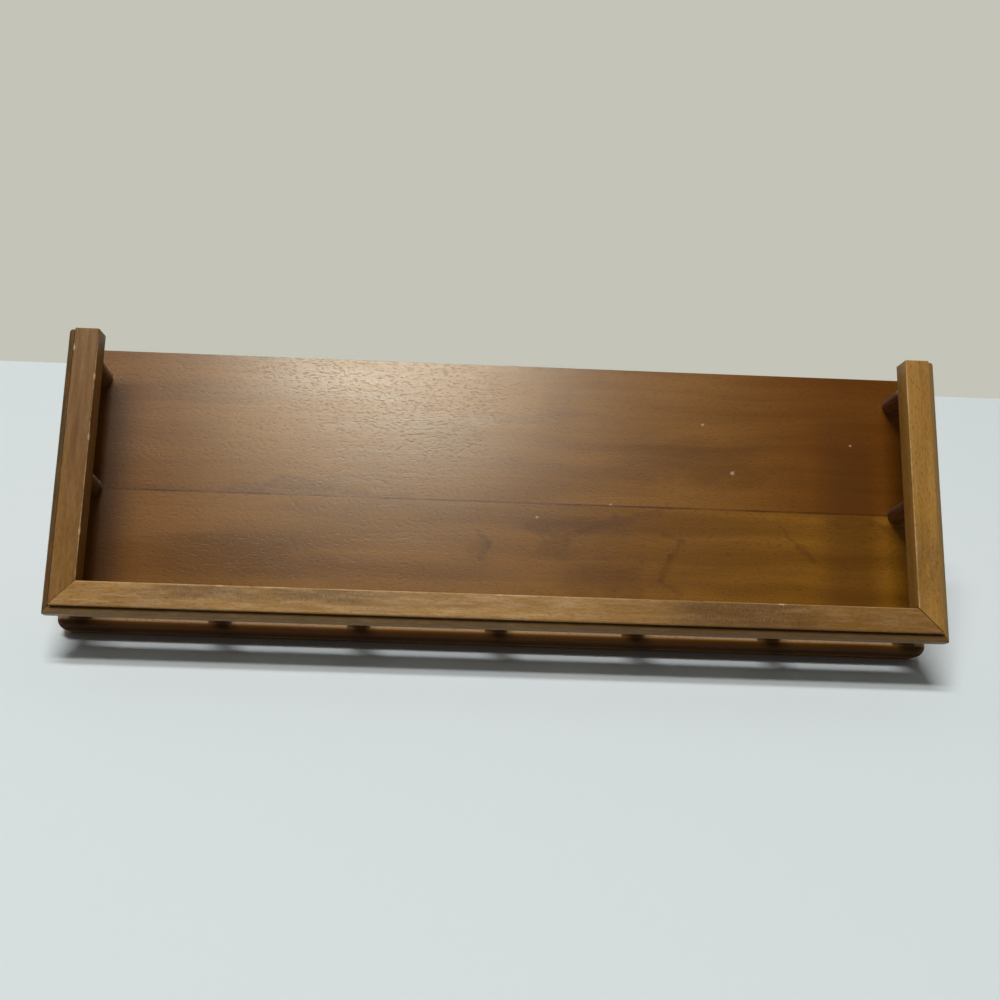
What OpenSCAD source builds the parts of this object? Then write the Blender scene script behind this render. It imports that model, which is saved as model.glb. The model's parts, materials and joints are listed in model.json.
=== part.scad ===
// Wall plate rack: a two-plank back panel and a mitred, three-sided guard rail
// that stands off it on turned spindles. Plates drop in from above, between the
// panel and the rail, and rest on the bottom row of spindles.
//
// Millimetres, as it hangs: X to the right, Y towards the wall, Z up.
// The origin is the centre of the flat back face, on the wall.

/* [Back panel] */
// Width of the panel
panel_w = 664; // [480:1:1200]
// Height of the panel
panel_h = 222; // [190:1:420]
// Thickness of the planks
panel_t = 19; // [16:0.5:32]
// Height of the lower plank, up to the glue line
lower_plank_h = 110; // [40:1:180]
// Radius of the rounding along the front edges
panel_edge_r = 6; // [2:0.5:10]
// Radius of the two bottom corners
panel_corner_r = 9; // [7:0.5:30]

/* [Guard rail] */
// Clear depth of the plate slot, between panel and rail
slot_depth = 38; // [24:1:80]
// Thickness of the rail, front to back
rail_t = 16.5; // [14:0.5:24]
// Width of the rail's flat front face
rail_face_w = 18; // [14:0.5:30]
// Slope of the rail's inner side, from front to back
rail_inner_slope = 1.2; // [0:0.1:3]
// How far the rail's sides are set in from the panel's sides
rail_side_inset = 2; // [0:0.5:10]
// How far the rail's bottom is set up from the panel's bottom
rail_bottom_inset = 4.5; // [0:0.5:12]
// How far the rail's ends stop below the panel's top
rail_top_inset = 2; // [0:0.5:10]
// Radius on the outer corner of the rail's ends
rail_end_r = 2.5; // [0.5:0.5:4]

/* [Lip moulding] */
// Radius of the rounded lip that stands out past the flat face
lip_r = 4.6; // [3:0.1:6]
// Height of the lip's straight foot, at the back of the rail
lip_foot_h = 8; // [5:0.5:9]
// Width of the quirk, the groove between lip and face
quirk_w = 1.2; // [0.6:0.1:2]
// Depth of the quirk below the top of the lip
quirk_depth = 1.4; // [0.4:0.1:3]

/* [Spindles] */
// Height of the rail's ends above the centres of the top spindles
rail_end_overhang = 20.7; // [12:0.1:60]
// How far the spindles stand inside the centre line of the rail's flat face
spindle_offset = 1.7; // [-1:0.1:2]
// Radius of the collar against the rail
collar_r = 6.6; // [5.8:0.1:7.4]
// Length of the collar
collar_len = 2.6; // [2:0.1:4]
// Radius of the neck, behind the collar
neck_r = 5.2; // [4.6:0.1:5.6]
// Length of the neck
neck_len = 1.4; // [1:0.1:4]
// Radius of the shank at its shoulder, near the rail
shoulder_r = 7; // [5.8:0.1:7.6]
// Length of the cone from neck to shoulder
shoulder_len = 5; // [2:0.5:8]
// Radius of the shank at its foot, against the panel
foot_r = 7.4; // [6:0.1:8]
// Radius of the rounding round the foot
foot_round = 1.2; // [0.4:0.1:2]
// Radius of both tenons
tenon_r = 3.6; // [2.5:0.1:4.5]
// Length of the tenon in the rail
rail_tenon_len = 8; // [5:0.5:9]
// Length of the tenon in the panel
panel_tenon_len = 10; // [6:0.5:11]
// Glue line around a tenon
glue_gap = 0.05; // [0.02:0.01:0.1]
// Room left past the end of a tenon
tenon_end_gap = 0.8; // [0.5:0.1:1.5]

/* [Hanger plates] */
// Distance between the two hangers
hanger_spacing = 406; // [200:1:440]
// Depth of the keyhole entries below the panel's top
hanger_drop = 59; // [45:1:90]
// Width of a hanger plate
hanger_w = 17; // [15:0.5:20]
// Length of a hanger plate, between its rounded ends
hanger_len = 52; // [50:1:60]
// Thickness of a hanger plate
hanger_t = 1.6; // [1.2:0.1:2]
// How far a plate's middle lies above its keyhole's entry
hanger_rise = 4; // [2:0.5:6]
// Clearance around a plate in its recess
hanger_gap = 0.2; // [0.1:0.1:0.5]
// Radius of the keyhole's round entry, for a screw's head
keyhole_entry_r = 5; // [4:0.1:5.5]
// Width of the keyhole's slot, for a screw's shank
keyhole_slot_w = 5; // [4.2:0.1:6]
// How far the slot runs up from the entry's centre
keyhole_rise = 10; // [8:0.5:12]
// Depth of the pocket behind a plate, from the back face
pocket_depth = 9; // [6:0.5:12]
// Room in the pocket around a screw's head
pocket_gap = 1; // [0.5:0.1:2]

/* [Hanger screws] */
// Distance from a plate's centre to each of its screws
screw_offset = 20; // [18:0.5:21]
// Radius of a screw's head
screw_head_r = 3.3; // [2.6:0.1:3.6]
// Radius of a screw's shank
screw_r = 1.6; // [1.2:0.1:2]
// Length of a screw
screw_len = 13; // [8:0.5:14]
// Width of the slot across the head
screw_slot_w = 0.8; // [0.5:0.1:1]
// Depth of the slot across the head
screw_slot_depth = 0.7; // [0.4:0.1:1]

/* [Hidden] */
$fn = 64;
// Overlap that keeps cuts and joined shapes clean
eps = 0.02;
// Spare length of the blocks that trim a rail
spare = 1;

// Panel
panel_left = -panel_w / 2;
panel_bottom = -panel_h / 2;
panel_top = panel_h / 2;
seam_z = panel_bottom + lower_plank_h;

// Rail
lip_w = lip_r + quirk_w;
rail_w = lip_w + rail_face_w + rail_inner_slope;
rail_left = panel_left + rail_side_inset;
rail_bottom_z = panel_bottom + rail_bottom_inset;
rail_top_z = panel_top - rail_top_inset;
rail_back_y = -panel_t - slot_depth;

// Spindles
spindle_inset = lip_w + rail_face_w / 2 + spindle_offset;
corner_x = -rail_left - spindle_inset;
spindle_z = rail_bottom_z + spindle_inset;
BOTTOM_COUNT = 7;
SIDE_COUNT = 2;
bottom_pitch = 2 * corner_x / (BOTTOM_COUNT - 1);
side_pitch = (rail_top_z - rail_end_overhang - spindle_z) / SIDE_COUNT;
collar_round = collar_len / 2;
bore_r = tenon_r + glue_gap;

// Hangers
hanger_z = panel_top - hanger_drop;
hanger_mid_z = hanger_z + hanger_rise;
hanger_end_r = hanger_w / 2;
pocket_r = keyhole_entry_r + pocket_gap;
screw_zs = [hanger_mid_z - screw_offset, hanger_mid_z + screw_offset];

WOOD_PANEL = [0.42, 0.28, 0.16];
WOOD_RAIL = [0.58, 0.44, 0.27];
WOOD_SPINDLE = [0.27, 0.14, 0.08];
STEEL = [0.62, 0.6, 0.55];

// Where each spindle stands: [x, z]
bottom_places = [for (i = [0 : BOTTOM_COUNT - 1]) [-corner_x + i * bottom_pitch, spindle_z]];
left_places = [for (i = [1 : SIDE_COUNT]) [-corner_x, spindle_z + i * side_pitch]];
right_places = [for (p = left_places) [-p[0], p[1]]];
all_places = concat(bottom_places, left_places, right_places);

// ---- Back panel ----

// Cross-section of a plank's rounded front edge: X in from the edge, Y out from
// the back face. reach is how far in from the edge the piece runs.
module edge_section(reach) {
    square([reach, panel_t - panel_edge_r]);
    translate([panel_edge_r, 0])
        square([reach - panel_edge_r, panel_t]);
    translate([panel_edge_r, panel_t - panel_edge_r])
        intersection() {
            circle(r = panel_edge_r);
            translate([-panel_edge_r, 0])
                square(panel_edge_r);
        }
}

// A side strip of a plank, rounded along its outer front edge
module side_strip(z_lo, z_hi) {
    translate([panel_left, 0, z_lo])
        linear_extrude(z_hi - z_lo)
            mirror([0, 1])
                edge_section(panel_corner_r);
}

// The bottom left corner: the edge section swept a quarter turn
module bottom_corner() {
    translate([panel_left + panel_corner_r, 0, panel_bottom + panel_corner_r])
        rotate([90, 0, 0])
            rotate([0, 0, 180])
                rotate_extrude(angle = 90)
                    intersection() {
                        square([panel_corner_r, panel_t]);
                        translate([panel_corner_r, 0])
                            mirror([1, 0])
                                edge_section(panel_corner_r);
                    }
}

// The strip along the bottom, rounded along its lower front edge
module bottom_strip() {
    translate([0, 0, panel_bottom])
        rotate([0, -90, 0])
            linear_extrude(panel_w - 2 * panel_corner_r, center = true)
                mirror([0, 1])
                    edge_section(panel_corner_r);
}

// The flat middle of a plank
module plank_field(z_lo, z_hi) {
    translate([panel_left + panel_corner_r, -panel_t, z_lo])
        cube([panel_w - 2 * panel_corner_r, panel_t, z_hi - z_lo]);
}

// Blind holes in the panel's face for the spindles' rear tenons
module panel_bores() {
    for (p = all_places)
        translate([p[0], -panel_t - eps, p[1]])
            rotate([-90, 0, 0])
                cylinder(r = bore_r, h = panel_tenon_len + tenon_end_gap + eps);
}

module panel_plank_lower() {
    field_bottom = panel_bottom + panel_corner_r;
    color(WOOD_PANEL)
        difference() {
            union() {
                plank_field(field_bottom, seam_z);
                bottom_strip();
                for (side = [0, 1])
                    mirror([side, 0, 0]) {
                        side_strip(field_bottom, seam_z);
                        bottom_corner();
                    }
            }
            panel_bores();
            hanger_recesses();
        }
}

module panel_plank_upper() {
    color(WOOD_PANEL)
        difference() {
            union() {
                plank_field(seam_z, panel_top);
                for (side = [0, 1])
                    mirror([side, 0, 0])
                        side_strip(seam_z, panel_top);
            }
            panel_bores();
            hanger_recesses();
        }
}

// ---- Guard rail ----

// Cross-section of the rail: X in from the outer edge of the lip, Y towards the
// front from the rail's back. A flat face, a quirk, then a quarter-round lip.
module rail_section() {
    difference() {
        union() {
            polygon([
                [0, 0],
                [rail_w, 0],
                [lip_w + rail_face_w, rail_t],
                [lip_w, rail_t],
                [lip_w, lip_foot_h],
                [0, lip_foot_h]
            ]);
            translate([lip_r, lip_foot_h])
                intersection() {
                    circle(r = lip_r);
                    translate([-lip_r, 0])
                        square(lip_r);
                }
            translate([lip_r, lip_foot_h])
                square([quirk_w, lip_r]);
        }
        translate([lip_r, lip_foot_h + lip_r - quirk_depth])
            square([quirk_w, quirk_depth + eps]);
    }
}

// A straight length of rail, running up Z, with its lip facing -X
module rail_bar(z_lo, z_hi) {
    translate([0, rail_back_y, z_lo])
        linear_extrude(z_hi - z_lo)
            mirror([0, 1])
                rail_section();
}

// A block that keeps what lies over the outline drawn in X and Z
module keep_outline() {
    rotate([90, 0, 0])
        translate([0, 0, panel_t])
            linear_extrude(slot_depth + rail_t + spare)
                children();
}

// Blind holes in the rail's back for the spindles' front tenons
module rail_bores() {
    for (p = all_places)
        translate([p[0], rail_back_y + eps, p[1]])
            rotate([90, 0, 0])
                cylinder(r = bore_r, h = rail_tenon_len + tenon_end_gap + eps);
}

// The left rail's outline from the front: mitred at the bottom, and with its
// outer top corner rounded
module side_rail_outline() {
    polygon([
        [rail_left, rail_bottom_z],
        [rail_left + rail_w + spare, rail_bottom_z + rail_w + spare],
        [rail_left + rail_w + spare, rail_top_z],
        [rail_left + rail_end_r, rail_top_z],
        [rail_left + rail_end_r, rail_top_z - rail_end_r],
        [rail_left, rail_top_z - rail_end_r]
    ]);
    translate([rail_left + rail_end_r, rail_top_z - rail_end_r])
        intersection() {
            circle(r = rail_end_r);
            translate([-rail_end_r, 0])
                square(rail_end_r);
        }
}

module rail_left() {
    color(WOOD_RAIL)
        difference() {
            intersection() {
                translate([rail_left, 0, 0])
                    rail_bar(rail_bottom_z, rail_top_z + spare);
                keep_outline()
                    side_rail_outline();
            }
            rail_bores();
        }
}

module rail_right() {
    mirror([1, 0, 0])
        rail_left();
}

module rail_bottom() {
    color(WOOD_RAIL)
        difference() {
            intersection() {
                translate([0, 0, rail_bottom_z])
                    rotate([0, -90, 0])
                        rail_bar(rail_left, -rail_left);
                keep_outline()
                    polygon([
                        [rail_left, rail_bottom_z],
                        [-rail_left, rail_bottom_z],
                        [-rail_left - rail_w - spare, rail_bottom_z + rail_w + spare],
                        [rail_left + rail_w + spare, rail_bottom_z + rail_w + spare]
                    ]);
            }
            rail_bores();
        }
}

// ---- Spindles ----

// Half outline of a turned spindle: X is the radius, Y runs from the rail's back
// to the panel. Tenon, rounded collar, neck, a cone up to the shoulder, a shank
// that swells a little towards its rounded foot, tenon.
module spindle_outline() {
    neck_end = collar_len + neck_len;
    translate([0, -rail_tenon_len])
        square([tenon_r, rail_tenon_len + slot_depth + panel_tenon_len]);
    square([collar_r - collar_round, collar_len]);
    translate([collar_r - collar_round, collar_round])
        intersection() {
            circle(r = collar_round);
            translate([0, -collar_round])
                square([collar_round, collar_len]);
        }
    polygon([
        [0, collar_round],
        [neck_r, collar_round],
        [neck_r, neck_end],
        [shoulder_r, neck_end + shoulder_len],
        [foot_r, slot_depth - foot_round],
        [foot_r - foot_round, slot_depth - foot_round],
        [foot_r - foot_round, slot_depth],
        [0, slot_depth]
    ]);
    translate([foot_r - foot_round, slot_depth - foot_round])
        intersection() {
            circle(r = foot_round);
            square(foot_round);
        }
}

module spindle(place) {
    color(WOOD_SPINDLE)
        translate([place[0], rail_back_y, place[1]])
            rotate([-90, 0, 0])
                rotate_extrude()
                    spindle_outline();
}

// ---- Hangers ----

// A bar with round ends, standing up Z at the hanger's middle, drawn in X and Z
module hanger_outline(grow) {
    half = hanger_len / 2 - hanger_end_r;
    translate([0, hanger_mid_z]) {
        square([hanger_w + 2 * grow, 2 * half], center = true);
        for (end = [-1, 1])
            translate([0, end * half])
                circle(r = hanger_end_r + grow);
    }
}

// A round-ended slot, from the entry's centre up to the top of the keyhole
module rising_slot(r) {
    translate([-r, hanger_z])
        square([2 * r, keyhole_rise]);
    for (rise = [0, keyhole_rise])
        translate([0, hanger_z + rise])
            circle(r = r);
}

// Extrudes an outline drawn in X and Z forwards from the back face
module from_back(depth) {
    rotate([90, 0, 0])
        translate([0, 0, -eps])
            linear_extrude(depth + eps)
                children();
}

// A countersunk screw's outline of revolution: X is the radius, Y the depth
module screw_outline(grow) {
    polygon([
        [0, 0],
        [screw_head_r + grow, 0],
        [screw_r + grow, screw_head_r - screw_r],
        [screw_r + grow, screw_len - 2 * screw_r + grow],
        [0, screw_len + grow]
    ]);
}

// A screw, or with grow the hole for it, pointing forwards from the back face
module screw_solid(z, grow) {
    translate([0, 0, z])
        rotate([90, 0, 0])
            rotate_extrude()
                screw_outline(grow);
}

// What is cut from the planks for both hangers
module hanger_recesses() {
    for (side = [-1, 1])
        translate([side * hanger_spacing / 2, 0, 0]) {
            from_back(hanger_t)
                hanger_outline(hanger_gap);
            from_back(pocket_depth)
                rising_slot(pocket_r);
            for (z = screw_zs)
                screw_solid(z, glue_gap);
        }
}

module hanger_plate(side) {
    color(STEEL)
        translate([side * hanger_spacing / 2, 0, 0])
            difference() {
                rotate([90, 0, 0])
                    linear_extrude(hanger_t)
                        difference() {
                            hanger_outline(0);
                            rising_slot(keyhole_slot_w / 2);
                            translate([0, hanger_z])
                                circle(r = keyhole_entry_r);
                        }
                for (z = screw_zs)
                    screw_solid(z, glue_gap);
            }
}

module hanger_screws(side) {
    color(STEEL)
        translate([side * hanger_spacing / 2, 0, 0])
            for (z = screw_zs)
                difference() {
                    screw_solid(z, 0);
                    translate([-screw_head_r - spare, -screw_slot_depth, z - screw_slot_w / 2])
                        cube([2 * (screw_head_r + spare), screw_slot_depth + eps, screw_slot_w]);
                }
}

panel_plank_upper();
panel_plank_lower();
rail_left();
rail_bottom();
rail_right();
for (i = [1 : BOTTOM_COUNT])
    spindle(bottom_places[i - 1]);
for (i = [1 : SIDE_COUNT])
    spindle(left_places[i - 1]);
for (i = [1 : SIDE_COUNT])
    spindle(right_places[i - 1]);
hanger_plate(-1);  // hanger_plate_left
hanger_plate(1);  // hanger_plate_right
hanger_screws(-1);  // hanger_screws_left
hanger_screws(1);  // hanger_screws_right
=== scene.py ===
"""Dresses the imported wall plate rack: soft worn rails, turned spindles, a grained panel.

Laid out as an add-on. The sizes and colours are properties, each group of pieces has an
operator, and a panel in the 3D view's sidebar lists them. Run as a script, it makes
everything in order. Lengths are metres in the rack's own frame: X to the right, Y towards
the wall, Z up, with the origin at the centre of the flat back face.
"""

import json
import math
from typing import NamedTuple

import bmesh
import bpy
import numpy as np
from bpy.props import FloatProperty, FloatVectorProperty, PointerProperty
from bpy.types import Operator, Panel, PropertyGroup
from mathutils import Matrix, Vector

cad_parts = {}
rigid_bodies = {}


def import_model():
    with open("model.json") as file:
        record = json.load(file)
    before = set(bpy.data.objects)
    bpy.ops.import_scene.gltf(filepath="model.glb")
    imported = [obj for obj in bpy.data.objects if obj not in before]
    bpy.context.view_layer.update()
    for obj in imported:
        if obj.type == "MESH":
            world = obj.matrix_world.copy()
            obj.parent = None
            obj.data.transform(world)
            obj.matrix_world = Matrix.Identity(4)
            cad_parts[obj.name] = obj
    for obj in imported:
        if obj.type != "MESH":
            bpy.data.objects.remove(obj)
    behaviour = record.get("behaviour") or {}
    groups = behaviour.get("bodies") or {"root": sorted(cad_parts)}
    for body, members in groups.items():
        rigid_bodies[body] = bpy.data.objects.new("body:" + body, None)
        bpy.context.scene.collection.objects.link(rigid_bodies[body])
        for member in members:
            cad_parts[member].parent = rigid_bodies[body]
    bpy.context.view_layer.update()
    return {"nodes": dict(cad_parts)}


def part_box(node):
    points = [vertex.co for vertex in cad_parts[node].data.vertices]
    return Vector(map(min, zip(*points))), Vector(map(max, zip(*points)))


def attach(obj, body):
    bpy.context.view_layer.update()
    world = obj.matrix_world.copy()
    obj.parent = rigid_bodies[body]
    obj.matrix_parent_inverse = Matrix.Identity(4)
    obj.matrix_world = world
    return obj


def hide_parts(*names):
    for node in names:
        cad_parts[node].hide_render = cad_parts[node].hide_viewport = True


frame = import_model()

bl_info = {
    "name": "Wall Plate Rack",
    "version": (1, 0, 0),
    "blender": (4, 5, 0),
    "location": "View3D > Sidebar > Plate Rack",
    "description": "Makes the rails, spindles, panel, hangers and stage of a wall plate rack",
    "category": "Object",
}

MM = 0.001
BODY = "root"

# Places that come from the solids
RAIL_LOW, RAIL_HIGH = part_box("rail_left")
PANEL_LOW, PANEL_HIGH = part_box("panel_plank_lower")
SEAM_Z = PANEL_HIGH.z
RAIL_BACK = RAIL_HIGH.y
RAIL_THICKNESS = RAIL_HIGH.y - RAIL_LOW.y
PANEL_FACE = PANEL_LOW.y
FIRST_FOOT, SECOND_FOOT = (sum(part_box(f"spindle_bottom_{n}"), Vector()) / 2 for n in (1, 2))
FOOT_PITCH = SECOND_FOOT.x - FIRST_FOOT.x


# ---- Sizes and colours ----

ANGLE = {"subtype": "ANGLE", "unit": "ROTATION"}


def length(name, description, default):
    """A size in metres."""
    return FloatProperty(name=name, description=description, default=default, min=0.0,
                         precision=5, unit="LENGTH", subtype="DISTANCE")


def number(name, description, default, **kind):
    """A number without a lower bound, with its unit and subtype."""
    return FloatProperty(name=name, description=description, default=default, **kind)


def colour(name, description, default):
    """A colour, as linear red, green and blue."""
    return FloatVectorProperty(name=name, description=description, default=default, size=3,
                               min=0.0, max=1.0, subtype="COLOR")


class RackRailProps(PropertyGroup):
    """Sizes and colours of the guard rail."""

    face_width: length("Face width", "Width of the flat front face", 18 * MM)
    lip_radius: length("Lip radius", "Radius of the rounded lip", 4.6 * MM)
    lip_foot: length("Lip foot", "Height of the lip's straight foot", 8 * MM)
    quirk_width: length("Quirk width", "Width of the groove beside the lip", 1.2 * MM)
    quirk_depth: length("Quirk depth", "Depth of the groove below the lip", 1.4 * MM)
    inner_arris: length("Inner arris", "Radius of the worn inner arris", 1.1 * MM)
    outer_arris: length("Outer arris", "Radius of the arris above the groove", 0.6 * MM)
    end_corner: length("End corner", "Radius on the outer corner of the rail's ends", 2.5 * MM)
    quirk_round: length("Quirk rounding", "Radius in the groove's corners", 0.3 * MM)
    back_round: length("Back rounding", "Radius of the two back arrises", 0.4 * MM)
    end_softening: length("End softening", "Radius round the sawn ends", 0.3 * MM)
    wear: length("Wear", "How far the arrises are worn back at most", 0.32 * MM)
    mitre_gap: length("Mitre gap", "How far each side of the right mitre has drawn back", 0.3 * MM)
    light: colour("Light wood", "Rubbed, yellow-brown wood of the rails", (0.35, 0.175, 0.034))
    # Also the colour of the painted shade on the rails' inner sides.
    dark: colour("Dark wood", "Darker streaks of the rails", (0.12, 0.045, 0.004))
    grime: colour("Grime", "Dirt in the pores and the groove", (0.05, 0.027, 0.008))
    lip: colour("Lip", "Dusty lip of the bottom rail", (0.15, 0.085, 0.034))
    # Painted shade: the left rail's lip, a shaded copy of the lip's colour.
    shaded_lip: colour("Dark lip", "Dirty lip of the left rail", (0.07, 0.04, 0.016))
    # Painted light: the right rail's lip, a paler, greenish lit copy of the lip's colour.
    lit_lip: colour("Pale lip", "Greenish lip of the right rail", (0.2, 0.125, 0.045))
    bare: colour("Bare wood", "Pale wood where an arris is rubbed or chipped", (0.55, 0.38, 0.2))


class RackSpindleProps(PropertyGroup):
    """Sizes and colours of the turned spindles."""

    tenon: length("Tenon radius", "Radius of both tenons", 3.6 * MM)
    collar: length("Collar radius", "Radius of the collar against the rail", 6.6 * MM)
    collar_length: length("Collar length", "Length of the collar", 2.6 * MM)
    neck: length("Neck radius", "Radius of the neck behind the collar", 5.2 * MM)
    neck_length: length("Neck length", "Length of the neck", 1.4 * MM)
    shoulder: length("Shoulder radius", "Radius of the shank at its shoulder", 7 * MM)
    shoulder_length: length("Shoulder length", "Length of the cone up to the shoulder", 5 * MM)
    foot: length("Foot radius", "Radius of the shank against the panel", 7.4 * MM)
    foot_round: length("Foot rounding", "Radius of the rounding round the foot", 1.2 * MM)
    tenon_round: length("Tenon rounding", "Radius round both tenons' ends", 0.4 * MM)
    light: colour("Light wood", "Lighter streaks of the spindles", (0.1, 0.033, 0.012))
    # Also the colour of the painted shade in the neck.
    dark: colour("Dark wood", "Darker streaks of the spindles", (0.032, 0.009, 0.003))


class RackPanelProps(PropertyGroup):
    """Sizes and colours of the back panel."""

    arris: length("Arris", "Softening of the planks' edges", 0.35 * MM)
    brown: colour("Brown", "Mid brown of the stained planks", (0.21, 0.084, 0.0075))
    # Also the colour of the painted shadow of the left rail and of the darker band inside the right rail.
    shade: colour("Dark figure", "Darker figure in the grain", (0.065, 0.02, 0.001))
    amber: colour("Amber", "Red-brown of the upper plank towards the right", (0.138, 0.042, 0.001))
    tan: colour("Tan", "Yellow-brown of the lower plank towards the right", (0.222, 0.09, 0.005))
    # Colour of the painted shade on the lower edge and of the painted shadows below the bottom spindles.
    edge: colour("Edge", "Dark, rounded lower edge", (0.03, 0.01, 0.001))
    # Also the colour of the painted bounce light on the paler strip along the panel's bottom.
    fleck: colour("Flecks", "Small pale flecks", (0.66, 0.5, 0.33))


class RackHangerProps(PropertyGroup):
    """Colours of the hanger plates and their screws."""

    plate: colour("Plate", "Dull zinc of the plates", (0.42, 0.415, 0.395))
    screw: colour("Screw", "Yellowish zinc of the screws", (0.45, 0.4, 0.29))
    tarnish: colour("Tarnish", "Darker tarnish on both", (0.24, 0.22, 0.19))


class RackStageProps(PropertyGroup):
    """The camera, the lamps, the table and the wall behind it."""

    eye: FloatVectorProperty(name="Eye", description="Where the camera stands", size=3,
                             default=(-0.06106, -1.00938, -0.23864), subtype="TRANSLATION",
                             unit="LENGTH", precision=5)
    turn: FloatVectorProperty(name="Turn", description="The camera's rotation", size=3,
                              default=tuple(math.radians(a) for a in (103.544, -1.551, -2.222)),
                              subtype="EULER", unit="ROTATION")
    lens: number("Lens", "Focal length in millimetres on a 36 mm sensor", 47.14, unit="CAMERA")
    shift_x: number("Shift X", "Sideways shift of the lens", 0.0386)
    shift_y: number("Shift Y", "Upward shift of the lens", -0.0005)
    table_tilt: number("Table tilt", "Turn of the table under the rack", math.radians(40), **ANGLE)
    wall_distance: length("Wall distance", "From the rack's edge back to the wall", 0.568)
    ceiling_power: number("Ceiling power", "Power of each ceiling lamp", 119.0, unit="POWER")
    sheen_power: number("Sheen power", "Power of the lamp that gives the sheen", 1.12, unit="POWER")
    sheen_spread: number("Sheen spread", "Angle of that lamp's narrow beam", math.radians(22), **ANGLE)
    rear_power: number("Rear power", "Power of the lamp that lights the back", 10.0, unit="POWER")
    sky: number("Sky", "Strength of the even light from all round", 0.12)
    cloth: colour("Cloth", "Pale cloth under the rack", (0.64, 0.69, 0.7))
    wall: colour("Wall", "Grey-white wall behind the table", (0.552, 0.552, 0.479))


# ---- Surfaces ----

# Keeps a length that is divided by above zero
TINY = 1e-9


def rounded_outline(corners, radii, steps=8):
    """Rounds every corner of a closed outline and returns the points in order.

    At a corner between two straight sides, the arc touches both sides at a distance of the
    radius divided by the tangent of half the angle between them. Its centre lies on the
    bisector, at the radius divided by the sine of that half angle. The arc's points are the
    centre plus the radius times a direction that turns from one touching point to the other.
    One more point on the side before each arc, and one on the side after it, keep a flat side's
    shading flat.
    """
    corners = np.asarray(corners, float)
    radii = np.asarray(radii, float)[:, None]
    back = np.roll(corners, 1, 0) - corners
    ahead = np.roll(corners, -1, 0) - corners
    back /= np.linalg.norm(back, axis=1, keepdims=True)
    ahead /= np.linalg.norm(ahead, axis=1, keepdims=True)
    half = np.arccos(np.clip((back * ahead).sum(1), -1, 1))[:, None] / 2
    middle = back + ahead
    middle /= np.linalg.norm(middle, axis=1, keepdims=True)
    centre = corners + middle * radii / np.sin(half)
    start = corners + back * radii / np.tan(half) - centre
    stop = corners + ahead * radii / np.tan(half) - centre
    share = np.linspace(0, 1, steps + 1)[None, :, None]
    spoke = start[:, None] * (1 - share) + stop[:, None] * share
    spoke /= np.maximum(np.linalg.norm(spoke, axis=2, keepdims=True), TINY)
    arc = centre[:, None] + spoke * radii[:, None]
    before = arc[:, :1] + support(arc[:, 0], np.roll(arc[:, -1], 1, 0))[:, None]
    after = arc[:, -1:] + support(arc[:, -1], np.roll(arc[:, 0], -1, 0))[:, None]
    return np.concatenate([before, arc, after], 1).reshape(-1, 2)


def support(start, end, most=0.4 * MM, share=0.3):
    """A short step from each start towards its end: a share of the way, but no more than most."""
    way = end - start
    distance = np.linalg.norm(way, axis=1, keepdims=True)
    return way * np.minimum(share, most / np.maximum(distance, TINY))


def outward_normals(outline):
    """Unit normals of a closed outline: its tangent, turned a quarter turn away from its inside."""
    tangent = np.roll(outline, -1, 0) - np.roll(outline, 1, 0)
    normal = np.stack([tangent[:, 1], -tangent[:, 0]], 1)
    normal /= np.maximum(np.linalg.norm(normal, axis=1, keepdims=True), TINY)
    following = np.roll(outline, -1, 0)
    area = (outline[:, 0] * following[:, 1] - following[:, 0] * outline[:, 1]).sum() / 2
    return normal * np.sign(area)


def ripple(along, seed, waves=7, shortest=9 * MM, longest=160 * MM):
    """A smooth uneven line between about -1 and 1: a sum of sines of random length and phase.

    The gain makes up for the sines that cancel each other.
    """
    gain = 1.7
    draw = np.random.default_rng(seed)
    wavelength = np.geomspace(shortest, longest, waves)
    phase = draw.uniform(0, math.tau, waves)
    weight = draw.uniform(0.4, 1.0, waves)
    waves_at = np.sin(math.tau * along[..., None] / wavelength + phase) * weight
    return waves_at.sum(-1) / weight.sum() * gain


def grid_faces(points):
    """Quads between neighbouring rows of a grid whose columns close on themselves, and both end caps.

    They face outwards: if the sum of the quads' signed pyramids to the middle is negative, all
    are turned round.
    """
    rows, columns = points.shape[:2]
    row, column = np.meshgrid(np.arange(rows - 1), np.arange(columns), indexing="ij")
    following = (column + 1) % columns
    quads = np.stack([row * columns + column, row * columns + following,
                      (row + 1) * columns + following, (row + 1) * columns + column], -1)
    quads = quads.reshape(-1, 4)
    first = np.arange(columns)[::-1]
    last = np.arange(columns) + (rows - 1) * columns
    corner = points.reshape(-1, 3)[quads]
    normal = np.cross(corner[:, 2] - corner[:, 0], corner[:, 3] - corner[:, 1])
    if ((corner.mean(1) - points.mean((0, 1))) * normal).sum() < 0:
        quads, first, last = quads[:, ::-1], first[::-1], last[::-1]
    return quads.tolist() + [first.tolist(), last.tolist()]


def new_piece(name, points, attributes, material, slot, *nodes):
    """Makes a mesh object from a grid of points, with its attributes, and puts it on the rack."""
    mesh = bpy.data.meshes.new(name)
    mesh.from_pydata(points.reshape(-1, 3).tolist(), [], grid_faces(points))
    for label, values in attributes.items():
        kind = "FLOAT_VECTOR" if values.ndim > 1 and values.shape[-1] == 3 else "FLOAT"
        field = "vector" if kind == "FLOAT_VECTOR" else "value"
        layer = mesh.attributes.new(label, kind, "POINT")
        layer.data.foreach_set(field, np.ascontiguousarray(values, np.float32).ravel())
    return put_on_rack(name, mesh, material, nodes)


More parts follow.
